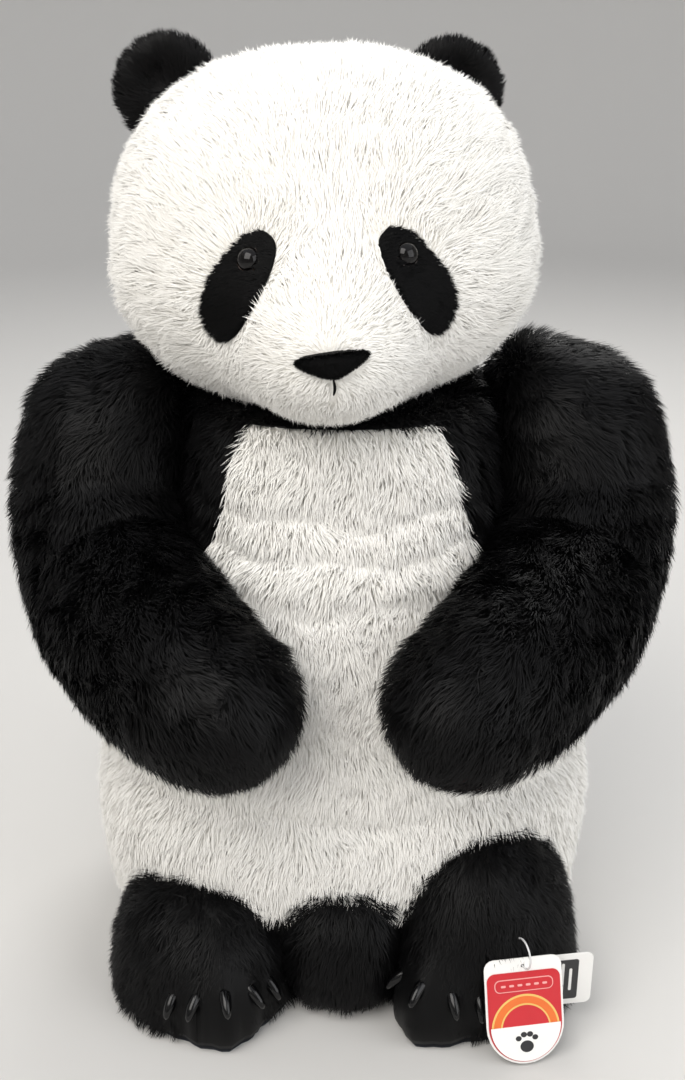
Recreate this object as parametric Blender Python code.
"""Seated plush panda, sewn from plush panels over filling, with jointed head, limbs, ears, tail and tag.

Metres, +Z up, the panda faces -Y. Left and right are the panda's own, so its left is +X.
The origin is the middle of the flat seat it rests on. Every soft cover is a panel of one smooth
surface, given as a function of two parameters, and its filling is the same surface moved inwards.
"""

import math

import bmesh
import bpy
import numpy as np

# ---------------------------------------------------------------------- fits
GAP = 0.0003  # between pieces that touch
FILL_GAP = 0.0009  # between a cover and the filling inside it
PRESS_GAP = 0.0042  # between the arms and the body they are pressed to, with room for their facets
SHOULDER_GAP = 0.0011  # the same where the arms turn against the chest
HIP_GAP = 0.0008  # round the thighs
SKIN = 0.006  # a cover: backing with its pile laid flat
CUT_REACH = 0.02  # how far a cutter runs past what it cuts

# ---------------------------------------------------------------------- torso
TORSO_HEIGHT = 0.450
HIP_HALF = 0.191  # half of the widest width, low on the torso
CHEST_HALF = 0.116  # half of the width between the arms
SEAT_HALF = 0.140  # half of the flat seat
BELLY_FRONT = 0.148  # how far the belly stands in front of the axis
CHEST_FRONT = 0.082
BACK_DEPTH = 0.148
UPPER_BACK_DEPTH = 0.096
TORSO_SQUARENESS = 2.5  # exponent of the torso's sections, 2 being an ellipse
BELLY_TURN = 60.0  # side seams, degrees each side of the front
LAP_TURN = 30.0  # the strip between the legs runs in under both thighs
TORSO_CELL_TURN = 15.0  # facets round the torso

# ---------------------------------------------------------------------- neck
NECK_RADIUS = 0.042
NECK_FOOT = 0.420  # where the neck's stuffed plug starts, inside the torso
NECK_Y = 0.030
NECK_Z = 0.456  # the centre the head turns and nods about
NECK_FACETS = 24
NOD_ROOM_RADIUS = 0.092  # the hollow under the head that the top of the torso stands in
NOD_ROOM_SLOPE = math.radians(9.0)
NOD_ROOM_GAP = 0.0035

# ---------------------------------------------------------------------- head
HEAD_CENTRE = (-0.014, 0.028, 0.564)
HEAD_HALF = 0.152
HEAD_UP = 0.128
HEAD_DOWN = 0.123
HEAD_FRONT = 0.126
HEAD_BACK = 0.130
HEAD_SQUARENESS = 2.35
HEAD_YAW = math.radians(2.0)  # the face looks slightly to its left
HEAD_ROLL = math.radians(1.5)
GUSSET_HALF_ANGLE = 24.0  # half of the strip over the crown, degrees
NOSE_ANGLE = -15.0  # elevation of the nose seen from the middle of the head
NAPE_ANGLE = 210.0
MUZZLE_LENGTH = 0.066
MUZZLE_ANGLE = -22.0
MUZZLE_SPREAD = (23.0, 24.0)  # half widths of the muzzle's swell, sideways and up, degrees
CHEEK_SWELL = 0.010
CHEEK_ANGLES = (62.0, -22.0)
CHEEK_SPREAD = 30.0
SIDE_RINGS = 8
HEAD_SEGMENTS = 24

# ---------------------------------------------------------------------- face
EYE_RADIUS = 0.0076
EYE_HALF_SPACING = 0.0475
EYE_RISE = 0.001  # eyes above the middle of the head
EYE_DOME = 0.0052
SHANK_RADIUS = 0.0022
SHANK_LENGTH = 0.020
WASHER_RADIUS = 0.0075
WASHER_THICKNESS = 0.0014
PATCH_LENGTH = 0.066
PATCH_WIDTH = 0.034
PATCH_TILT = 27.0  # degrees from upright, lower ends outwards
PATCH_THICKNESS = 0.003
PATCH_CENTRE = (0.0605, -0.015)  # across and up from the middle of the head
PATCH_RINGS = 3
PATCH_SEGMENTS = 16
NOSE_WIDTH = 0.046
NOSE_HEIGHT = 0.021
NOSE_DEPTH = 0.011
NOSE_SEAT = 0.0008
NOSE_RISE = -17.0
MOUTH_LENGTH = 0.011
MOUTH_DROP = 0.0008
THREAD_RADIUS = 0.0009

# ---------------------------------------------------------------------- ears
EAR_HALF_WIDTH = 0.036
EAR_HALF_THICKNESS = 0.011
EAR_UP = 0.036
EAR_DOWN = 0.013
EAR_PLACES = {"left": (42.0, 130.0), "right": (-47.0, 112.0)}  # side and rise angles on the head
EAR_SEGMENTS = 14
EAR_RINGS = 8

# ---------------------------------------------------------------------- arms
SHOULDER_OUT = 0.057  # shoulder centre outside the chest
SHOULDER = (0.032, 0.398)  # its place front to back, and height
ARM_JOINTS = (  # out from the shoulder, front to back, height, radius
    (0.000, 0.032, 0.398, 0.072),
    (0.008, 0.010, 0.350, 0.070),
    (-0.006, -0.045, 0.313, 0.066),
    (-0.034, -0.112, 0.300, 0.061),
    (-0.067, -0.160, 0.290, 0.056),
    (-0.087, -0.176, 0.281, 0.052),
)
ARM_SEGMENTS = 16
ARM_RINGS = 14
ARM_CAP = 0.16  # share of the arm's parameter that each rounded end takes
SHOULDER_FLAT = 0.085  # round the shoulder axis, the arm is flat against the chest

# ---------------------------------------------------------------------- legs
LEG_X = 0.105
LEG_Y = -0.116
LEG_RADIUS = 0.069
LEG_HEIGHTS = {"left": 0.146, "right": 0.104}
LEG_SQUARENESS = 2.5
FOOT_TURNS = {"left": -34.0, "right": 14.0}  # where the toes point, degrees from straight ahead
FOOT_LENGTHS = {"left": 0.024, "right": 0.016}  # how far the toes stand out of the thigh
TOE_ROOM = 0.010  # more room for the toes than for the thighs
FOOT_SPREAD = 19.0
FOOT_RISE = 30.0
SOLE_THICKNESS = 0.009
LEG_SEGMENTS = 24
LEG_RINGS = 6
CLAW_RADIUS = 0.0026
CLAW_LENGTH = 0.016
CLAW_COUNT = 5
CLAW_ROOT = 0.0025  # how deep a claw is sewn into the plush
CLAW_FACETS = 8
CLAW_STEP = 15.0  # degrees from claw to claw, seen from the middle of the leg
CLAW_RISE = 27.0

# ---------------------------------------------------------------------- seat filling and tail
PELLET_RADIUS = 0.060
PELLET_HEIGHT = 0.024
PELLET_Y = 0.033
TAIL_STATION = 5
TAIL_LENGTH = 0.050
TAIL_MOUTH = 10.0  # the tail is open this many degrees round its root
TAIL_HALF_WIDTH = 0.032
TAIL_HALF_HEIGHT = 0.026
TAIL_RINGS = 6
TAIL_SEGMENTS = 12

# ---------------------------------------------------------------------- tag
TAG_WIDTH = 0.058
TAG_HEIGHT = 0.078
TAG_THICKNESS = 0.0008
TAG_FOOT = 0.003  # the tag's lower edge above the ground
TAG_LEAN = math.radians(20.0)  # its lower edge rests against the foot
TAG_TURN = math.radians(9.0)
TAG_PLACE = 20.0  # where its loop is sewn, degrees round the thigh from the front
TAG_HOLE = 0.0014
TAG_HOLE_DROP = 0.006
LOOP_RADIUS = 0.011
LOOP_WIRE = 0.0007
LABEL_WIDTH = 0.040
LABEL_HEIGHT = 0.046
LABEL_FOOT = 0.020
LABEL_PLACE = 37.0  # where its edge is sewn, degrees round the thigh from the front
LABEL_TURN = math.radians(8.0)

# ---------------------------------------------------------------------- colours: RGB, roughness, metallic
WHITE_PLUSH = (0.86, 0.84, 0.78, 0.9, 0.0)
BLACK_PLUSH = (0.012, 0.012, 0.014, 0.9, 0.0)
SOLE_PLUSH = (0.03, 0.034, 0.045, 0.95, 0.0)
FILLING = (0.92, 0.92, 0.90, 1.0, 0.0)
COTTON = (0.70, 0.66, 0.56, 0.9, 0.0)
EYE_BLACK = (0.01, 0.008, 0.008, 0.06, 0.0)
CLAW_BLACK = (0.012, 0.012, 0.012, 0.15, 0.0)
WASHER_WHITE = (0.8, 0.8, 0.78, 0.5, 0.0)
TAG_RED = (0.55, 0.02, 0.025, 0.35, 0.0)
LABEL_WHITE = (0.80, 0.78, 0.72, 0.5, 0.0)
NYLON = (0.85, 0.85, 0.85, 0.3, 0.0)

PARTS = "plush_panda"
CUTTERS = "cutters"
SIDES = {"left": 1.0, "right": -1.0}


# ---------------------------------------------------------------------- curves and surfaces
def through(table, place):
    """A smooth curve through the table's rows, read at a row number that may be a fraction."""
    rows = np.asarray(table, float)
    last = len(rows) - 1
    place = np.clip(np.asarray(place, float), 0, last)
    low = np.minimum(place.astype(int), last - 1)
    part = (place - low)[..., None]
    before, start = rows[np.maximum(low - 1, 0)], rows[low]
    end, after = rows[low + 1], rows[np.minimum(low + 2, last)]
    leave, arrive = (end - before) / 2, (after - start) / 2
    square, cube = part**2, part**3
    return (
        (2 * cube - 3 * square + 1) * start
        + (cube - 2 * square + part) * leave
        + (3 * square - 2 * cube) * end
        + (cube - square) * arrive
    )


def unit(vectors):
    """Vectors made one long."""
    return vectors / np.maximum(np.linalg.norm(vectors, axis=-1, keepdims=True), 1e-12)


def slopes(shape, across, along, step=0.02):
    """The surface's two unit directions and its outward normal."""
    to_side = shape(across + step, along) - shape(across - step, along)
    to_end = shape(across, along + step) - shape(across, along - step)
    return unit(to_side), unit(to_end), unit(np.cross(to_side, to_end))


def swell(angle, middle, spread):
    """A bell-shaped bump of height 1 over an angle in degrees."""
    return np.exp(-(((angle - middle) / spread) ** 2))


# ---------------------------------------------------------------------- torso surface
TORSO_STATIONS = (  # height as a share, then how far each size has gone from hips to chest
    # height, width, front, back
    (0.000, None, None, None),
    (0.000, None, None, None),
    (0.000, None, None, None),
    (0.028, 0.42, 0.30, 0.32),
    (0.100, 0.12, 0.10, 0.10),
    (0.200, 0.02, 0.02, 0.02),
    (0.310, 0.00, 0.00, 0.00),
    (0.425, 0.18, 0.06, 0.04),
    (0.535, 0.52, 0.22, 0.16),
    (0.645, 0.84, 0.45, 0.38),
    (0.745, 1.00, 0.66, 0.62),
    (0.850, 1.00, 0.90, 0.90),
    (0.930, 1.12, 0.98, 1.16),
    (0.980, 1.32, 1.12, 1.44),
    (1.000, 1.60, 1.50, 1.62),
    (1.002, None, None, None),
)
SEAT_RIM, LAP_TOP, BACK_TOP, BELLY_TOP, NECK_RIM, CROWN = 3, 5, 10, 13, 14, 15
SEAT_SHARES = (0.0, 0.55, 1.0)


def torso_rows():
    """Height, half width, front and back depth at each station from the seat's middle to the neck."""
    sizes = ((HIP_HALF, CHEST_HALF), (BELLY_FRONT, CHEST_FRONT), (BACK_DEPTH, UPPER_BACK_DEPTH))
    rows = []
    for number, (height, *shares) in enumerate(TORSO_STATIONS):
        if number < SEAT_RIM:
            spans = [low * SEAT_HALF / HIP_HALF * SEAT_SHARES[number] for low, _ in sizes]
        elif number == CROWN:
            spans = [0.0, 0.0, 0.0]
        else:
            spans = [low + (high - low) * share for (low, high), share in zip(sizes, shares)]
        rows.append([height * TORSO_HEIGHT, *spans])
    return np.array(rows)


def section_reach(turn, width, front, back):
    """Distance from the axis to a squared oval section, in the direction of turn (degrees)."""
    side, ahead = np.sin(np.radians(turn)), np.cos(np.radians(turn))
    depth = np.where(ahead > 0, front, back)
    power = TORSO_SQUARENESS
    total = (np.abs(side) / np.maximum(width, 1e-6)) ** power
    total = total + (np.abs(ahead) / np.maximum(depth, 1e-6)) ** power
    return total ** (-1 / power)


def torso(turn, station):
    """A point of the torso: turn in degrees from the front towards its left, station from 0 to 15."""
    height, width, front, back = np.moveaxis(through(torso_rows(), station), -1, 0)
    reach = section_reach(turn, width, front, back)
    side, ahead = np.sin(np.radians(turn)), np.cos(np.radians(turn))
    return np.stack([reach * side, -reach * ahead, height], -1)


def torso_reach(turn, height):
    """How far the torso stands from its axis at a height."""
    rows = torso_rows()[SEAT_RIM - 1 : NECK_RIM + 1]
    sizes = [np.interp(height, rows[:, 0], rows[:, column]) for column in (1, 2, 3)]
    return section_reach(turn, *sizes)


def clear_of_torso(points, margin):
    """Moves points out of the torso, straight away from its axis."""
    turn = np.degrees(np.arctan2(points[..., 0], -points[..., 1]))
    apart = np.hypot(points[..., 0], points[..., 1])
    need = torso_reach(turn, points[..., 2]) + margin
    grow = np.where((points[..., 2] < TORSO_HEIGHT) & (apart < need), need / np.maximum(apart, 1e-6), 1.0)
    return np.stack([points[..., 0] * grow, points[..., 1] * grow, points[..., 2]], -1)


# ---------------------------------------------------------------------- head surface
def turned_with_head(offsets):
    """Offsets from the middle of the head, turned by the head's yaw and roll."""
    x, y, z = np.moveaxis(np.asarray(offsets, float), -1, 0)
    x, z = x * math.cos(HEAD_ROLL) - z * math.sin(HEAD_ROLL), x * math.sin(HEAD_ROLL) + z * math.cos(HEAD_ROLL)
    x, y = x * math.cos(HEAD_YAW) - y * math.sin(HEAD_YAW), x * math.sin(HEAD_YAW) + y * math.cos(HEAD_YAW)
    return np.stack([x, y, z], -1)


def head(side, rise):
    """A point of the head. side: degrees from its middle plane to its left. rise: degrees up from ahead."""
    side_angle, rise_angle = np.radians(side), np.radians(rise)
    way = np.stack(
        [
            np.sin(side_angle),
            -np.cos(side_angle) * np.cos(rise_angle),
            np.cos(side_angle) * np.sin(rise_angle),
        ],
        -1,
    )
    depth = np.where(way[..., 1] < 0, HEAD_FRONT, HEAD_BACK)
    height = np.where(way[..., 2] > 0, HEAD_UP, HEAD_DOWN)
    power = HEAD_SQUARENESS
    total = (np.abs(way[..., 0]) / HEAD_HALF) ** power
    total = total + (np.abs(way[..., 1]) / depth) ** power + (np.abs(way[..., 2]) / height) ** power
    reach = total ** (-1 / power)
    lift = (rise + 180.0) % 360.0 - 180.0
    muzzle = swell(side, 0.0, MUZZLE_SPREAD[0]) * swell(lift, MUZZLE_ANGLE, MUZZLE_SPREAD[1])
    cheek = swell(np.abs(side), CHEEK_ANGLES[0], CHEEK_SPREAD) * swell(lift, CHEEK_ANGLES[1], 1.6 * CHEEK_SPREAD)
    reach = reach + MUZZLE_LENGTH * muzzle + CHEEK_SWELL * cheek * (1 - (side / 90.0) ** 8)
    return np.array(HEAD_CENTRE) + turned_with_head(way * reach[..., None])


def head_at(across, up, ahead=HEAD_FRONT):
    """Side and rise angles of the head's surface behind a point of its front plane."""
    side = math.degrees(math.atan2(across, math.hypot(ahead, up)))
    rise = math.degrees(math.atan2(up, ahead))
    return side, rise


def gusset_edge(rise):
    """Half angle of the crown strip: none below the nose, full over the crown, closing at the nape."""
    opening = np.clip((rise - NOSE_ANGLE) / 60.0, 0, 1) * np.clip((NAPE_ANGLE - rise) / 60.0, 0, 1)
    return GUSSET_HALF_ANGLE * np.sqrt(opening)


# ---------------------------------------------------------------------- limb surfaces
def arm_line(along):
    """Centre line and radius of the left arm at a share of its length."""
    rows = np.array(ARM_JOINTS)
    rows[:, 0] += CHEST_HALF + SHOULDER_OUT
    return through(rows, along * (len(rows) - 1))


def arm_frame(along):
    """Centre line row, its direction, and the direction away from the torso's axis, along the left arm."""
    share = np.clip((np.asarray(along, float) - ARM_CAP) / (1 - 2 * ARM_CAP), 0, 1)
    row = arm_line(share)
    ahead = unit((arm_line(np.clip(share + 0.02, 0, 1)) - arm_line(np.clip(share - 0.02, 0, 1)))[..., :3])
    out = row[..., :3] * (1.0, 1.0, 0.0)
    out = unit(out - (out * ahead).sum(-1, keepdims=True) * ahead)
    return row, ahead, out


def arm(around, along):
    """A point of the left arm: around it in degrees from its outer side, along it from 0 to 1."""
    along = np.asarray(along, float)
    lead = np.clip((ARM_CAP - along) / ARM_CAP, 0, 1) * math.pi / 2
    tail = np.clip((along - 1 + ARM_CAP) / ARM_CAP, 0, 1) * math.pi / 2
    row, ahead, out = arm_frame(along)
    over = np.cross(ahead, out)
    angle = np.radians(around)[..., None] if np.ndim(around) else np.radians(around)
    rim = np.cos(angle) * out + np.sin(angle) * over
    wide = (np.cos(lead) * np.cos(tail))[..., None]
    reach = (np.sin(tail) - np.sin(lead))[..., None]
    return row[..., :3] + row[..., 3:4] * (wide * rim + reach * ahead)


def pressed_arm(points, depth):
    """The arm's points moved clear of the torso, and flat against the chest round the shoulder's axis."""
    near = np.hypot(points[..., 1] - SHOULDER[0], points[..., 2] - SHOULDER[1]) < SHOULDER_FLAT
    points = clear_of_torso(points, np.where(near, SHOULDER_GAP, PRESS_GAP) + depth)
    wall = CHEST_HALF + 2 * GAP + depth
    x = np.where(near, np.maximum(points[..., 0], wall), points[..., 0])
    return np.stack([x, points[..., 1], points[..., 2]], -1)


def leg_shape(side):
    """The surface function of one leg: turn in degrees from straight ahead, rise from 0 at the floor to 90."""
    sign, height, toes, length = SIDES[side], LEG_HEIGHTS[side], FOOT_TURNS[side], FOOT_LENGTHS[side]

    def leg(turn, rise):
        lift = np.radians(np.clip(rise, 0, 90))
        level = np.cos(lift)
        power = LEG_SQUARENESS
        total = (np.abs(level) / LEG_RADIUS) ** power + (np.sin(lift) / (height - SOLE_THICKNESS)) ** power
        reach = total ** (-1 / power)
        off = (turn - toes + 180.0) % 360.0 - 180.0
        reach = reach + length * swell(off, 0.0, FOOT_SPREAD) * swell(rise, 10.0, FOOT_RISE)
        x = sign * LEG_X + reach * level * np.sin(np.radians(turn))
        y = LEG_Y - reach * level * np.cos(np.radians(turn))
        return np.stack([x, y, SOLE_THICKNESS + reach * np.sin(lift)], -1)

    return leg


# ---------------------------------------------------------------------- scene
def clear_scene():
    """Removes every object and mesh that the file opened with."""
    for item in list(bpy.data.objects):
        bpy.data.objects.remove(item, do_unlink=True)


def collection(name, wired=False):
    """A named collection in the scene."""
    made = bpy.data.collections.new(name)
    bpy.context.scene.collection.children.link(made)
    made.hide_render = wired
    return made


def material(name, finish):
    """A Principled material: colour, roughness and metallic value."""
    made = bpy.data.materials.new(name)
    made.use_nodes = True
    shader = made.node_tree.nodes["Principled BSDF"]
    shader.inputs["Base Color"].default_value = (*finish[:3], 1.0)
    shader.inputs["Roughness"].default_value = finish[3]
    shader.inputs["Metallic"].default_value = finish[4]
    made.diffuse_color = (*finish[:3], 1.0)
    return made


def facing_out(shape):
    """Turns a closed solid's faces outwards."""
    bmesh.ops.recalc_face_normals(shape, faces=shape.faces[:])
    if shape.calc_volume(signed=True) < 0:
        bmesh.ops.reverse_faces(shape, faces=shape.faces[:])


PIVOTS = {}


def pivot(name, place, parent=None):
    """An empty on a joint's axis, which the moving pieces hang from."""
    made = bpy.data.objects.new(f"{name}_pivot", None)
    bpy.data.collections[PARTS].objects.link(made)
    made.empty_display_size = 0.02
    base = PIVOTS[parent][1] if parent else np.zeros(3)
    made.location = np.asarray(place, float) - base
    if parent:
        made.parent = PIVOTS[parent][0]
    PIVOTS[name] = (made, np.asarray(place, float))


def piece(name, shape, finish, body=None):
    """Turns a bmesh in world places into a named object that hangs from its body's pivot."""
    facing_out(shape)
    base = PIVOTS[body][1] if body else np.zeros(3)
    bmesh.ops.translate(shape, vec=-base, verts=shape.verts[:])
    mesh = bpy.data.meshes.new(name)
    shape.to_mesh(mesh)
    shape.free()
    mesh.shade_smooth()
    mesh.set_sharp_from_angle(angle=math.radians(50))
    made = bpy.data.objects.new(name, mesh)
    bpy.data.collections[PARTS].objects.link(made)
    made.data.materials.append(material(name, finish))
    if body:
        made.parent = PIVOTS[body][0]
    return made


def cutter(name, shape):
    """A solid that only cuts others."""
    facing_out(shape)
    mesh = bpy.data.meshes.new(name)
    shape.to_mesh(mesh)
    shape.free()
    made = bpy.data.objects.new(name, mesh)
    bpy.data.collections[CUTTERS].objects.link(made)
    made.hide_render = True
    made.display_type = "WIRE"
    return made


def cut(target, *tools):
    """Cuts target by each tool."""
    for tool in tools:
        step = target.modifiers.new(f"cut_{tool.name}", "BOOLEAN")
        step.operation = "DIFFERENCE"
        step.solver = "EXACT"
        step.object = tool


# ---------------------------------------------------------------------- solids from surfaces
def place(shape, points):
    """Puts points into a bmesh's vertices, welds those that meet and splits its faces into triangles."""
    for vertex, point in zip(shape.verts, points):
        vertex.co = point
    bmesh.ops.remove_doubles(shape, verts=shape.verts[:], dist=1e-6)
    bmesh.ops.triangulate(shape, faces=shape.faces[:], quad_method="SHORT_EDGE")
    return shape


def strip(surface, across, along, cells, depth=SKIN, trims=(GAP, GAP), press=None, shift=None, lift=0.0):
    """A panel of a surface between two values of each parameter, depth thick inwards.

    across and along give the two values, or functions of the other parameter's value for across.
    trims are how far its sides and its ends stay from the seams. shift moves it at each value along.
    lift raises its outer face.
    """
    shape = bmesh.new()
    bmesh.ops.create_grid(shape, x_segments=cells[0], y_segments=cells[1], size=1.0)
    bmesh.ops.solidify(shape, geom=shape.faces[:], thickness=2.0)
    places = np.array([vertex.co for vertex in shape.verts])
    s, t = places[:, 0] / 2 + 0.5, places[:, 1] / 2 + 0.5
    inner = np.abs(places[:, 2]) > 1.0
    v = along[0] + (along[1] - along[0]) * t
    low, high = (edge(v) if callable(edge) else edge for edge in across)
    u = low + (high - low) * s
    to_side, to_end, normal = slopes(surface, u, v)
    inwards = np.where(inner, depth, -lift)
    points = surface(u, v) - normal * inwards[:, None]
    points = points + to_side * (trims[0] * ((s < 1e-4) * 1.0 - (s > 1 - 1e-4)))[:, None]
    points = points + to_end * (trims[1] * ((t < 1e-4) * 1.0 - (t > 1 - 1e-4)))[:, None]
    if press:
        points = press(points, inwards)
    if shift:
        points = points + shift(v)
    return place(shape, points)


def round_solid(rings, segments, puts):
    """A closed solid from a sphere of rings and segments. puts(ring, angle) places its vertices."""
    shape = bmesh.new()
    bmesh.ops.create_uvsphere(shape, u_segments=segments, v_segments=rings, radius=1.0)
    places = np.array([vertex.co for vertex in shape.verts])
    ring = np.round(np.arccos(np.clip(places[:, 2], -1, 1)) / math.pi * rings)
    angle = np.degrees(np.arctan2(places[:, 1], places[:, 0]))
    return place(shape, puts(ring, angle))


def disc(surface, centre, rim, rings, segments, depth=SKIN, trim=GAP, lift=0.0):
    """A round panel: the outer face from its middle to its rim, and the inner face depth below it.

    surface takes the angle round the disc and a value from centre to rim, which may be a function
    of the angle. lift raises the outer face.
    """

    def puts(ring, angle):
        inner = ring > rings
        share = np.where(inner, 2 * rings + 1 - ring, ring) / rings
        edge = rim(angle) if callable(rim) else rim
        value = centre + (edge - centre) * share
        safe = np.where(share < 1e-6, centre + (edge - centre) * 1e-3, value)
        to_angle, to_rim, normal = slopes(surface, angle, safe)
        if edge_is_low(edge, centre):
            to_rim = -to_rim
        points = surface(angle, value) - normal * np.where(inner, depth, -lift)[:, None]
        return points - to_rim * (trim * (share > 1 - 1e-6))[:, None]

    return round_solid(2 * rings + 1, segments, puts)


def edge_is_low(edge, centre):
    """Whether a disc's rim has a smaller parameter than its middle."""
    return float(np.mean(edge)) < centre


def filling(surface, values, segments, depth, press=None):
    """The solid inside a surface that closes at both ends of its second parameter."""

    def puts(ring, angle):
        value = values(ring)
        low, high = values(0.0), values(float(rings))
        near = 1e-3 * (high - low)
        _, _, normal = slopes(surface, angle, np.clip(value, low + near, high - near))
        points = surface(angle, value) - normal * depth
        return press(points, np.full(len(points), depth)) if press else points

    rings = values.rings
    return round_solid(rings, segments, puts)


class Steps:
    """Even steps between two values, numbered from the first."""

    def __init__(self, first, last, rings):
        self.first, self.last, self.rings = first, last, rings

    def __call__(self, ring):
        return self.first + (self.last - self.first) * np.asarray(ring, float) / self.rings


def turned(profile, centre, facets=NECK_FACETS):
    """A solid turned about an upright line through centre, from its radius and height pairs."""
    shape = bmesh.new()
    ring = [shape.verts.new((radius, 0.0, height)) for radius, height in profile]
    edges = [shape.edges.new(pair) for pair in zip(ring, ring[1:])]
    bmesh.ops.spin(
        shape, geom=ring + edges, cent=(0, 0, 0), axis=(0, 0, 1), angle=2 * math.pi, steps=facets, use_merge=True
    )
    bmesh.ops.remove_doubles(shape, verts=shape.verts[:], dist=1e-6)
    bmesh.ops.translate(shape, vec=centre, verts=shape.verts[:])
    return shape


def thread(name, points, radius, finish, body=None):
    """A thin round thread along points."""
    line = bpy.data.curves.new(name, "CURVE")
    line.dimensions = "3D"
    line.bevel_depth = radius
    line.bevel_resolution = 2
    line.use_fill_caps = True
    spline = line.splines.new("POLY")
    spline.points.add(len(points) - 1)
    base = PIVOTS[body][1] if body else np.zeros(3)
    for spot, point in zip(spline.points, np.asarray(points) - base):
        spot.co = (*point, 1.0)
    made = bpy.data.objects.new(name, line)
    bpy.data.collections[PARTS].objects.link(made)
    line.materials.append(material(name, finish))
    if body:
        made.parent = PIVOTS[body][0]
    return made


# ---------------------------------------------------------------------- torso
def leg_room(side, name="thigh", toes=0.0):
    """The round space that a thigh turns in, or its toes when they stand out of it."""
    height = LEG_HEIGHTS[side] - SOLE_THICKNESS + HIP_GAP
    radius = LEG_RADIUS + HIP_GAP + toes
    lifts = np.radians(np.linspace(0, 90, LEG_RINGS + 1))
    total = (np.cos(lifts) / radius) ** LEG_SQUARENESS + (np.sin(lifts) / height) ** LEG_SQUARENESS
    reach = total ** (-1 / LEG_SQUARENESS)
    arc = [(r * math.cos(a), SOLE_THICKNESS + r * math.sin(a)) for r, a in zip(reach, lifts)]
    arc[-1] = (0.0, arc[-1][1])
    profile = [(0.0, -CUT_REACH), (radius, -CUT_REACH), *arc]
    centre = (SIDES[side] * LEG_X, LEG_Y, 0.0)
    return cutter(f"{side}_{name}_room", turned(profile, centre, LEG_SEGMENTS))


def neck_profile(radius, top_radius, foot):
    """A plug with a round top about the neck's centre."""
    lifts = np.radians(np.linspace(0, 90, 6))
    arc = [(top_radius * math.cos(a), NECK_Z + top_radius * math.sin(a)) for a in lifts]
    arc[-1] = (0.0, arc[-1][1])
    return [(0.0, foot), (radius, foot), *arc]


def round_room(radius):
    """The radius of a faceted hole that a round piece of this radius turns in."""
    return (radius + GAP) / math.cos(math.pi / NECK_FACETS)


def build_torso():
    """Torso covers, filling, seat bag and back seam."""
    rooms = [leg_room(side) for side in SIDES]
    toe_rooms = [leg_room(side, "toe", TOE_ROOM) for side in SIDES]
    room_radius = round_room(NECK_RADIUS)
    sides = [(room_radius, NECK_FOOT - GAP), (room_radius, NECK_Z)]
    neck_room = cutter("neck_room", turned([(0, NECK_FOOT - GAP), *sides, (0, NECK_Z)], (0, NECK_Y, 0)))
    back_cells = round((180 - BELLY_TURN) / TORSO_CELL_TURN)
    seat = disc(torso, 0.0, SEAT_RIM, SEAT_RIM, round(360 / TORSO_CELL_TURN))
    cut(piece("seat_panel", seat, BLACK_PLUSH), *rooms)
    for name, half, span, finish, tools in (
        ("lap_panel", LAP_TURN, (SEAT_RIM, LAP_TOP), BLACK_PLUSH, toe_rooms),
        ("belly_panel", BELLY_TURN, (LAP_TOP, BELLY_TOP), WHITE_PLUSH, rooms),
        ("chest_yoke", BELLY_TURN, (BELLY_TOP, NECK_RIM), BLACK_PLUSH, (neck_room,)),
    ):
        cells = round(2 * half / TORSO_CELL_TURN)
        panel = strip(torso, (-half, half), span, (cells, span[1] - span[0]))
        cut(piece(name, panel, finish), *tools)
    for side, spans in (("left", (BELLY_TURN, 180)), ("right", (180, 360 - BELLY_TURN))):
        panel = strip(torso, spans, (SEAT_RIM, BACK_TOP), (back_cells, BACK_TOP - SEAT_RIM))
        cut(piece(f"back_panel_{side}", panel, WHITE_PLUSH), *rooms)
    wrap = (BELLY_TURN, 360 - BELLY_TURN)
    yoke = strip(torso, wrap, (BACK_TOP, NECK_RIM), (2 * back_cells, NECK_RIM - BACK_TOP))
    cut(piece("shoulder_yoke", yoke, BLACK_PLUSH), neck_room)
    inner = filling(torso, Steps(0.0, CROWN, CROWN), round(360 / TORSO_CELL_TURN), SKIN + FILL_GAP)
    core = piece("torso_filling", inner, FILLING)
    bag_floor = SKIN + GAP
    bag = [(0, bag_floor), (PELLET_RADIUS, bag_floor), (PELLET_RADIUS, bag_floor + PELLET_HEIGHT)]
    bag.append((0, bag_floor + PELLET_HEIGHT))
    room = [(0, -CUT_REACH), (PELLET_RADIUS + FILL_GAP, -CUT_REACH)]
    room += [(PELLET_RADIUS + FILL_GAP, bag[2][1] + GAP), (0, bag[2][1] + GAP)]
    bag_place = (0, PELLET_Y, 0)
    cut(core, *rooms, neck_room, cutter("pellet_room", turned(room, bag_place, 24)))
    piece("pellet_bag", turned(bag, bag_place, 24), COTTON)
    stations = np.linspace(LAP_TOP + 0.9, BACK_TOP - 0.3, 9)
    _, _, normal = slopes(torso, np.full(9, 180.0), stations)
    stitch = torso(np.full(9, 180.0), stations) + normal * (THREAD_RADIUS + 2 * GAP)
    thread("closing_stitch", stitch, THREAD_RADIUS, COTTON)


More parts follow.
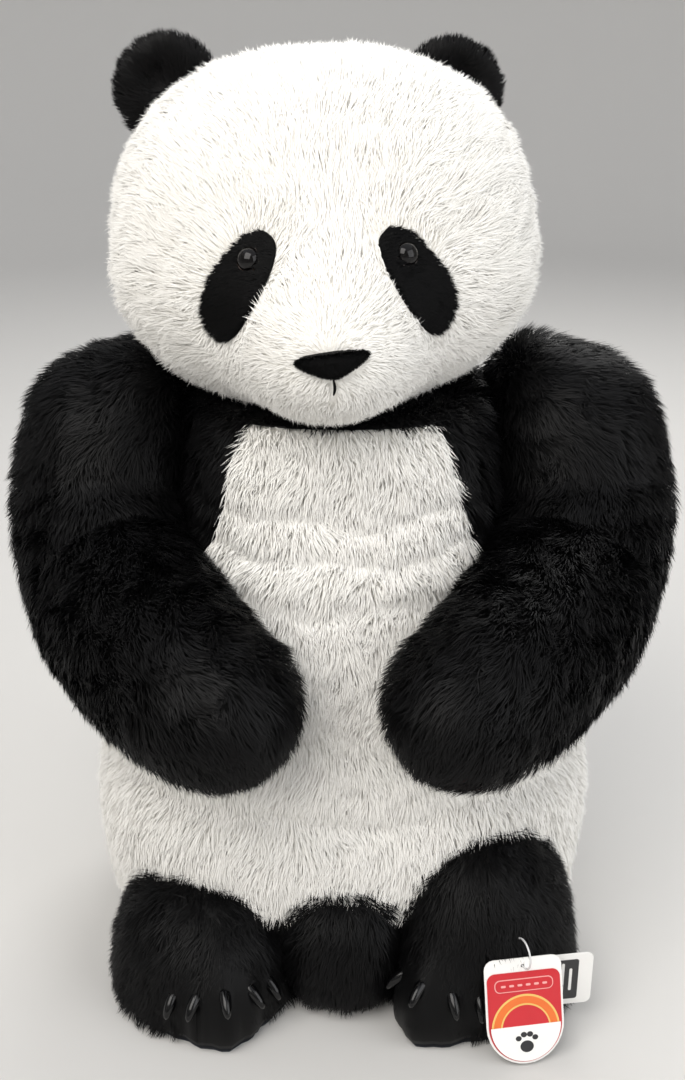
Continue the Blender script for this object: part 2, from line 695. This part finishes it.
def build_tail():
    """The short round tail, cover and filling, whose round root lets it bob."""
    root = torso(np.array([180.0]), np.array([TAIL_STATION]))[0]
    centre = root + (0.0, TAIL_HALF_HEIGHT + GAP, 0.0)
    pivot("tail", centre)

    def tail(around, along):
        lift, angle = np.radians(np.asarray(along, float)), np.radians(around)
        reach = np.where(np.cos(lift) > 0, TAIL_HALF_HEIGHT, TAIL_LENGTH - TAIL_HALF_HEIGHT)
        x = TAIL_HALF_WIDTH * np.sin(lift) * np.sin(angle)
        z = TAIL_HALF_HEIGHT * np.sin(lift) * np.cos(angle)
        return centre + np.stack([x, -reach * np.cos(lift), z], -1)

    cover = round_solid(2 * TAIL_RINGS + 1, TAIL_SEGMENTS, lambda ring, angle: tail_layers(tail, ring, angle))
    piece("tail_cover", cover, WHITE_PLUSH, "tail")
    core = filling(tail, Steps(0.0, 180.0, TAIL_RINGS + 1), TAIL_SEGMENTS, SKIN / 2 + FILL_GAP)
    piece("tail_filling", core, FILLING, "tail")


def tail_layers(tail, ring, angle):
    """Outer and inner layer of the tail's cover, open where it meets the rump."""
    inner = ring > TAIL_RINGS
    share = np.where(inner, 2 * TAIL_RINGS + 1 - ring, ring) / TAIL_RINGS
    value = 180.0 - share * (180.0 - TAIL_MOUTH)
    _, _, normal = slopes(tail, angle, np.clip(value, 5.0, 175.0))
    return tail(angle, value) - normal * np.where(inner, SKIN / 2, 0.0)[:, None]


# ---------------------------------------------------------------------- neck and head
def build_neck():
    """The stuffed plug that carries the head."""
    pivot("neck", (0.0, NECK_Y, NECK_Z))
    pivot("head", (0.0, NECK_Y, NECK_Z), "neck")
    plug = neck_profile(NECK_RADIUS, NECK_RADIUS, NECK_FOOT)
    piece("neck_plug", turned(plug, (0, NECK_Y, 0)), FILLING, "neck")


def eye_frame(sign):
    """Place and outward direction of an eye."""
    side, rise = head_at(sign * EYE_HALF_SPACING, EYE_RISE)
    spot = head(np.array([side]), np.array([rise]))[0]
    _, _, normal = slopes(head, np.array([side]), np.array([rise]))
    return spot, normal[0]


def along_axis(shape, spot, way):
    """Turns a solid made along +Z to run along way from spot."""
    up = np.array([0.0, 0.0, 1.0])
    side = unit(np.cross(up, way))
    over = np.cross(way, side)
    frame = np.stack([side, over, way], 1)
    for vertex in shape.verts:
        vertex.co = frame @ np.array(vertex.co) + spot
    return shape


def bolt(radius, low, high, facets=16):
    """A plain round rod along +Z from low to high."""
    return turned([(0, low), (radius, low), (radius, high), (0, high)], (0, 0, 0), facets)


def build_head():
    """Head covers, filling, eyes with their patches and washers, nose and mouth."""
    ball = neck_profile(round_room(NECK_RADIUS), round_room(NECK_RADIUS), NECK_Z - 2 * CUT_REACH)
    ball_room = cutter("neck_ball_room", turned(ball, (0, NECK_Y, 0)))
    low, top = NECK_Z - 2 * CUT_REACH, TORSO_HEIGHT + NOD_ROOM_GAP
    slope = top + NOD_ROOM_RADIUS * math.tan(NOD_ROOM_SLOPE)
    hollow = turned([(0, low), (NOD_ROOM_RADIUS, low), (NOD_ROOM_RADIUS, slope), (0, top)], (0, NECK_Y, 0))
    nod_room = cutter("nod_room", hollow)
    shanks, pockets = [], []
    for side, sign in SIDES.items():
        spot, way = eye_frame(sign)
        hole = bolt(SHANK_RADIUS + GAP, -SHANK_LENGTH - GAP, CUT_REACH)
        shanks.append(cutter(f"{side}_shank_room", along_axis(hole, spot, way)))
        seat = -SKIN - 2 * FILL_GAP
        floor, wide = seat - WASHER_THICKNESS - GAP, WASHER_RADIUS + GAP
        narrow, foot = SHANK_RADIUS + GAP, -SHANK_LENGTH - GAP
        steps = [(0, foot), (narrow, foot), (narrow, floor), (wide, floor), (wide, CUT_REACH), (0, CUT_REACH)]
        pocket = turned(steps, (0, 0, 0), 16)
        pockets.append(cutter(f"{side}_washer_room", along_axis(pocket, spot, way)))

    def side_surface(sign):
        return lambda angle, value: head(sign * value, -sign * angle)

    def side_cover(sign, **changes):
        def rim(angle):
            return gusset_edge(from_chin(-sign * angle))

        return disc(side_surface(sign), 90.0, rim, SIDE_RINGS, HEAD_SEGMENTS, **changes)

    def crown(**changes):
        edges = (lambda rise: -gusset_edge(rise), gusset_edge)
        cells = (4, round((NAPE_ANGLE - NOSE_ANGLE) * HEAD_SEGMENTS / 360.0))
        return strip(head, edges, (NOSE_ANGLE, NAPE_ANGLE), cells, **changes)

    forms = {}
    for (side, sign), shank in zip(SIDES.items(), shanks):
        cut(piece(f"head_side_{side}", side_cover(sign), WHITE_PLUSH, "head"), nod_room, ball_room, shank)
        forms[side] = cutter(f"{side}_face_form", side_cover(sign, depth=2 * SKIN, trim=-GAP, lift=GAP))
    piece("head_gusset", crown(), WHITE_PLUSH, "head")
    forms["crown"] = cutter("crown_form", crown(depth=2 * SKIN, trims=(-GAP, -GAP), lift=GAP))

    def turned_head(angle, value):
        return head(value, angle)

    core = filling(turned_head, Steps(-90.0, 90.0, 2 * SIDE_RINGS), HEAD_SEGMENTS, -(SKIN + 4 * FILL_GAP))
    cut(piece("head_filling", core, FILLING, "head"), nod_room, ball_room, *pockets)
    for (side, sign), shank in zip(SIDES.items(), shanks):
        build_eye(side, sign, shank, forms)
    build_nose(forms)


def from_chin(angle):
    """The same angle, between the chin at -90 and the nape at 270."""
    return (angle + 90.0) % 360.0 - 90.0


def build_eye(side, sign, shank, forms):
    """One safety eye with its patch and its washer."""
    patch = round_solid(2 * PATCH_RINGS + 1, PATCH_SEGMENTS, lambda ring, angle: patch_layers(sign, ring, angle))
    cut(piece(f"eye_patch_{side}", patch, BLACK_PLUSH, "head"), forms[side], shank)
    spot, way = eye_frame(sign)
    base = PATCH_THICKNESS + 3 * GAP
    lifts = np.radians(np.linspace(0, 90, 5))
    dome = [(EYE_RADIUS * math.cos(a), base + EYE_DOME * math.sin(a)) for a in lifts]
    dome[-1] = (0.0, dome[-1][1])
    profile = [(0, -SHANK_LENGTH), (SHANK_RADIUS, -SHANK_LENGTH), (SHANK_RADIUS, base), *dome]
    piece(f"eye_{side}", along_axis(turned(profile, (0, 0, 0), 16), spot, way), EYE_BLACK, "head")
    seat = -SKIN - 2 * FILL_GAP
    inner = SHANK_RADIUS + GAP
    ring = [(inner, seat - WASHER_THICKNESS), (WASHER_RADIUS, seat - WASHER_THICKNESS)]
    ring += [(WASHER_RADIUS, seat), (inner, seat), ring[0]]
    piece(f"eye_washer_{side}", along_axis(turned(ring, (0, 0, 0), 16), spot, way), WASHER_WHITE, "head")


def patch_outline(angle):
    """The eye patch's half length and width outline, an egg with its narrow end at the top."""
    turn = np.radians(angle)
    long, wide = np.cos(turn), np.sin(turn)
    width = PATCH_WIDTH / 2 * (1 - 0.22 * long)
    return wide * width, long * PATCH_LENGTH / 2


def patch_layers(sign, ring, angle):
    """Outer and inner layer of an eye patch that lies on the head."""
    inner = ring > PATCH_RINGS
    share = np.where(inner, 2 * PATCH_RINGS + 1 - ring, ring) / PATCH_RINGS
    across, up = patch_outline(angle)
    tilt = math.radians(PATCH_TILT)
    x = PATCH_CENTRE[0] + share * (across * math.cos(tilt) - up * math.sin(tilt))
    z = PATCH_CENTRE[1] + share * (across * math.sin(tilt) + up * math.cos(tilt))
    side = np.degrees(np.arctan2(sign * x, np.hypot(HEAD_FRONT, z)))
    rise = np.degrees(np.arctan2(z, HEAD_FRONT))
    _, _, normal = slopes(head, side, rise)
    lift = np.where(inner, -SKIN / 3, GAP + PATCH_THICKNESS * np.sqrt(1 - 0.75 * share**2))
    return head(side, rise) + normal * lift[:, None]


def build_nose(forms):
    """The nose pad and the short stitch below it."""
    _, _, normal = slopes(head, np.array([0.0]), np.array([NOSE_RISE]))
    spot = head(np.array([0.0]), np.array([NOSE_RISE]))[0] + normal[0] * (3 * GAP)
    side = turned_with_head((1.0, 0.0, 0.0))
    over = np.cross(side, -normal[0])

    def puts(ring, angle):
        lift = ring / 8 * math.pi
        turn = np.radians(angle)
        across, up = np.cos(turn), np.sin(turn)
        narrow = 1 - 0.42 * np.clip(-up, 0, 1)
        wide = np.sin(lift) ** 0.7
        x = NOSE_WIDTH / 2 * wide * across * narrow
        z = NOSE_HEIGHT / 2 * wide * up
        out = np.clip(np.cos(lift), 0, 1) ** 0.8 * NOSE_DEPTH
        points = spot + x[:, None] * side + z[:, None] * over + out[:, None] * normal[0]
        return nose_seated(points, out)

    cut(piece("nose", round_solid(8, 16, puts), BLACK_PLUSH, "head"), *forms.values())
    ends = head(np.zeros(2), np.array([NOSE_ANGLE, NOSE_ANGLE - 360.0 / HEAD_SEGMENTS]))
    seam = unit(ends[1] - ends[0])
    start = (spot - ends[0]) @ seam + NOSE_HEIGHT / 2 + THREAD_RADIUS + MOUTH_DROP
    drops = np.linspace(start, start + MOUTH_LENGTH, 5)
    out = unit(np.cross(turned_with_head((1.0, 0.0, 0.0)), -seam))
    line = ends[0] + drops[:, None] * seam + out * (THREAD_RADIUS + 2 * GAP)
    thread("mouth_stitch", line, THREAD_RADIUS, BLACK_PLUSH, "head")


def nose_seated(points, out):
    """Moves the nose's back onto the muzzle."""
    offsets = points - np.array(HEAD_CENTRE)
    back = turned_back(offsets)
    side = np.degrees(np.arctan2(back[:, 0], np.hypot(back[:, 1], back[:, 2])))
    rise = np.degrees(np.arctan2(back[:, 2], -back[:, 1]))
    surface = head(side, rise)
    apart = np.linalg.norm(offsets, axis=1) - np.linalg.norm(surface - np.array(HEAD_CENTRE), axis=1)
    lift = np.where(out > 0, np.maximum(apart, NOSE_SEAT + out * 0.6), -SKIN / 3)
    return surface + unit(offsets) * lift[:, None]


def turned_back(offsets):
    """Offsets with the head's yaw and roll taken out again."""
    x, y, z = np.moveaxis(offsets, -1, 0)
    x, y = x * math.cos(HEAD_YAW) + y * math.sin(HEAD_YAW), -x * math.sin(HEAD_YAW) + y * math.cos(HEAD_YAW)
    x, z = x * math.cos(HEAD_ROLL) + z * math.sin(HEAD_ROLL), -x * math.sin(HEAD_ROLL) + z * math.cos(HEAD_ROLL)
    return np.stack([x, y, z], -1)


def ear_frame(side):
    """The middle of an ear's fold line, the way the ear stands, and the way the line runs."""
    place = [np.array([angle]) for angle in EAR_PLACES[side]]
    _, _, normal = slopes(head, *place)
    up = unit(normal[0] * (1, 0, 1))
    return head(*place)[0] + normal[0] * (EAR_HALF_THICKNESS - 2 * GAP), up, np.cross((0.0, 1.0, 0.0), up)


def build_ears():
    """Two ears, each a front and a back panel that fold at their seam."""
    for side in SIDES:
        root, up, wide = ear_frame(side)
        middle = root + up * (EAR_DOWN - EAR_HALF_THICKNESS)
        pivot(f"ear_{side}", root, "head")
        for name, face in (("front", -1.0), ("back", 1.0)):
            build_ear_panel(f"ear_{side}_{name}", f"ear_{side}", middle, up, wide, face)


def build_ear_panel(name, body, middle, up, wide, face):
    """Half of an ear, in front of or behind its seam."""

    def puts(ring, angle):
        lift = ring / EAR_RINGS * math.pi
        turn = np.radians(angle)
        high, level = np.cos(lift), np.sin(lift)
        width = EAR_HALF_WIDTH * np.where(high > 0, level, (1 - high**4) ** 0.25)
        rise = np.where(high > 0, EAR_UP, EAR_DOWN) * high
        depth = EAR_HALF_THICKNESS * level * np.maximum(np.sin(turn), 0.0)
        points = middle + (width * np.cos(turn))[:, None] * wide + rise[:, None] * up
        return points + (face * (depth + GAP / 2))[:, None] * np.array([0.0, 1.0, 0.0])

    shape = round_solid(EAR_RINGS, EAR_SEGMENTS, puts)
    piece(name, shape, BLACK_PLUSH, body)


# ---------------------------------------------------------------------- arms and legs
def mirrored(shape):
    """A solid mirrored to the panda's right."""
    for vertex in shape.verts:
        vertex.co.x = -vertex.co.x
    return shape


def build_arms():
    """Arms with an outer and an inner panel over filling."""
    for side, sign in SIDES.items():
        pivot(f"arm_{side}", (sign * (CHEST_HALF + SHOULDER_OUT), *SHOULDER))
        for name, span, way in (("outer", (-90.0, 90.0), 1.0), ("inner", (90.0, 270.0), 0.0)):
            cells = (ARM_SEGMENTS // 2, ARM_RINGS)

            def apart(along, way=way):
                return arm_frame(along)[2] * (way * 3 * GAP)

            shape = strip(arm, span, (0.0, 1.0), cells, press=pressed_arm, shift=apart)
            shape = shape if sign > 0 else mirrored(shape)
            piece(f"arm_{side}_{name}", shape, BLACK_PLUSH, f"arm_{side}")
        core = filling(arm, Steps(0.0, 1.0, ARM_RINGS), ARM_SEGMENTS, SKIN + FILL_GAP, pressed_arm)
        core = core if sign > 0 else mirrored(core)
        piece(f"arm_{side}_filling", core, FILLING, f"arm_{side}")


def build_legs():
    """Legs with a plush cover, a sole, filling and claws."""
    for side, sign in SIDES.items():
        body = f"leg_{side}"
        pivot(body, (sign * LEG_X, LEG_Y, 0.0))
        leg = leg_shape(side)
        cover = disc(leg, 90.0, 0.0, LEG_RINGS, LEG_SEGMENTS, trim=GAP)
        skin = piece(f"{body}_cover", cover, BLACK_PLUSH, body)

        def sole(ring, angle, leg=leg):
            layer = ring > 2
            share = np.where(layer, 5 - ring, ring) / 2
            rim = leg(angle, np.zeros_like(angle))
            centre = np.array([SIDES[side] * LEG_X, LEG_Y, 0.0])
            points = centre + (rim - centre) * share[:, None]
            points[:, 2] = np.where(layer, 0.0, SOLE_THICKNESS)
            return points

        piece(f"{body}_sole", round_solid(5, LEG_SEGMENTS, sole), SOLE_PLUSH, body)

        def core(ring, angle, leg=leg):
            value = 90.0 * (1 - ring / LEG_RINGS)
            floor = ring > LEG_RINGS
            safe = np.clip(value, 0.1, 89.0)
            _, _, normal = slopes(leg, angle, safe)
            points = leg(angle, np.maximum(value, 0.0)) - normal * (SKIN + 2 * FILL_GAP)
            points[:, 2] = np.maximum(points[:, 2], SOLE_THICKNESS + GAP)
            middle = np.array([SIDES[side] * LEG_X, LEG_Y, SOLE_THICKNESS + GAP])
            return np.where(floor[:, None], middle, points)

        piece(f"{body}_filling", round_solid(LEG_RINGS + 1, LEG_SEGMENTS, core), FILLING, body)
        build_claws(side, leg, skin)


def build_claws(side, leg, skin):
    """Curved claws along the toes of one foot."""
    middle = (CLAW_COUNT - 1) / 2
    round_claw = (CLAW_RADIUS + GAP) / math.cos(math.pi / CLAW_FACETS)
    for number in range(CLAW_COUNT):
        turn = FOOT_TURNS[side] + (number - middle) * CLAW_STEP
        rise = CLAW_RISE - 1.5 * abs(number - middle)
        spot = leg(np.array([turn]), np.array([rise]))[0]
        _, _, normal = slopes(leg, np.array([turn]), np.array([rise]))
        root, way = spot - normal[0] * CLAW_ROOT, normal[0]
        socket = along_axis(bolt(round_claw, -GAP, CUT_REACH, CLAW_FACETS), root, way)
        cut(skin, cutter(f"{side}_claw_{number + 1}_room", socket))
        heights = np.linspace(0, 1, 4)
        profile = [(0.0, 0.0)] + [(CLAW_RADIUS * math.sqrt(1 - h**1.6), h * CLAW_LENGTH) for h in heights]
        profile[-1] = (0.0, CLAW_LENGTH)
        shape = turned(profile, (0, 0, 0), CLAW_FACETS)
        for vertex in shape.verts:
            bend = (max(vertex.co.z - 2 * CLAW_ROOT, 0.0) / CLAW_LENGTH) ** 2
            vertex.co.y -= 0.35 * CLAW_LENGTH * bend
            vertex.co.z *= 1 - 0.12 * bend
        piece(f"leg_{side}_claw_{number + 1}", along_axis(shape, root, way), CLAW_BLACK, f"leg_{side}")


# ---------------------------------------------------------------------- tag and label
def card(width, height, thickness, round_foot):
    """A card standing upright, facing -Y, with round corners or a half-round foot, from 0 up."""
    corner = width / 2 if round_foot else width / 8
    upper = width / 8
    arcs = (
        (-width / 2 + corner, corner, corner, 180, 270),
        (width / 2 - corner, corner, corner, 270, 360),
        (width / 2 - upper, height - upper, upper, 0, 90),
        (-width / 2 + upper, height - upper, upper, 90, 180),
    )
    shape = bmesh.new()
    ring = []
    for x, z, radius, first, last in arcs:
        for angle in np.radians(np.linspace(first, last, 9 if radius > upper else 5)):
            ring.append(shape.verts.new((x + radius * math.cos(angle), 0.0, z + radius * math.sin(angle))))
    bmesh.ops.remove_doubles(shape, verts=shape.verts[:], dist=1e-6)
    face = shape.faces.new(shape.verts[:])
    made = bmesh.ops.extrude_face_region(shape, geom=[face])
    moved = [item for item in made["geom"] if isinstance(item, bmesh.types.BMVert)]
    bmesh.ops.translate(shape, vec=(0, thickness, 0), verts=moved)
    return shape


def stood(shape, turn, lean, spot):
    """Leans a card back, turns it about the upright and moves it to its place."""
    for vertex in shape.verts:
        x, y, z = vertex.co
        y, z = y * math.cos(lean) + z * math.sin(lean), z * math.cos(lean) - y * math.sin(lean)
        x, y = x * math.cos(turn) - y * math.sin(turn), x * math.sin(turn) + y * math.cos(turn)
        vertex.co = (x + spot[0], y + spot[1], z + spot[2])
    return shape


def build_tag():
    """The hang tag on its loop, and the label beside it."""
    leg = leg_shape("left")
    rises = np.linspace(20.0, 80.0, 241)
    surface = leg(np.full(241, TAG_PLACE), rises)
    drop = (TAG_HEIGHT - TAG_HOLE_DROP) * np.array([-math.sin(TAG_TURN), math.cos(TAG_TURN), 0.0])
    drop = drop * math.sin(TAG_LEAN) + (0.0, 0.0, (TAG_HEIGHT - TAG_HOLE_DROP) * math.cos(TAG_LEAN))
    top = TAG_FOOT + drop[2] + LOOP_RADIUS
    spot = surface[int(np.argmin(np.abs(surface[:, 2] - top)))]
    out = unit(np.array([spot[0] - LEG_X, spot[1] - LEG_Y, 0.0]))
    loop_centre = spot + out * (LOOP_RADIUS + LOOP_WIRE + GAP)
    pivot("tag", spot + out * GAP, "leg_left")
    hole = loop_centre - np.array([0.0, 0.0, LOOP_RADIUS])
    loop = bmesh.new()
    around = np.linspace(0, 2 * math.pi, 25)[:-1]
    rings = []
    for angle in around:
        middle = loop_centre + LOOP_RADIUS * (math.cos(angle) * out + math.sin(angle) * np.array([0, 0, 1]))
        way = math.cos(angle) * out + math.sin(angle) * np.array([0, 0, 1])
        side = np.cross(out, (0, 0, 1))
        sweep = np.radians(np.arange(0, 360, 60))
        rings.append([loop.verts.new(middle + LOOP_WIRE * (math.cos(a) * way + math.sin(a) * side)) for a in sweep])
    for one, two in zip(rings, rings[1:] + rings[:1]):
        for k in range(6):
            loop.faces.new((one[k], two[k], two[(k + 1) % 6], one[(k + 1) % 6]))
    piece("tag_loop", loop, NYLON, "tag")
    tag = card(TAG_WIDTH, TAG_HEIGHT, TAG_THICKNESS, True)
    made = piece("hang_tag", stood(tag, TAG_TURN, TAG_LEAN, hole - drop), TAG_RED, "tag")
    tool = bolt(TAG_HOLE, -CUT_REACH, CUT_REACH, 12)
    cut(made, cutter("tag_hole", along_axis(tool, hole, out)))
    label = card(LABEL_WIDTH, LABEL_HEIGHT, TAG_THICKNESS, False)
    angle = math.radians(LABEL_PLACE)
    edge = LEG_RADIUS + 2 * GAP
    x = LEG_X + edge * math.sin(angle) + LABEL_WIDTH / 2 * math.cos(LABEL_TURN)
    y = LEG_Y - edge * math.cos(angle) + LABEL_WIDTH / 2 * math.sin(LABEL_TURN)
    piece("side_label", stood(label, LABEL_TURN, 0.0, (x, y, LABEL_FOOT)), LABEL_WHITE, "leg_left")


def main():
    """Builds the whole panda."""
    clear_scene()
    collection(PARTS)
    collection(CUTTERS, wired=True)
    build_torso()
    build_tail()
    build_neck()
    build_head()
    build_ears()
    build_arms()
    build_legs()
    build_tag()


main()
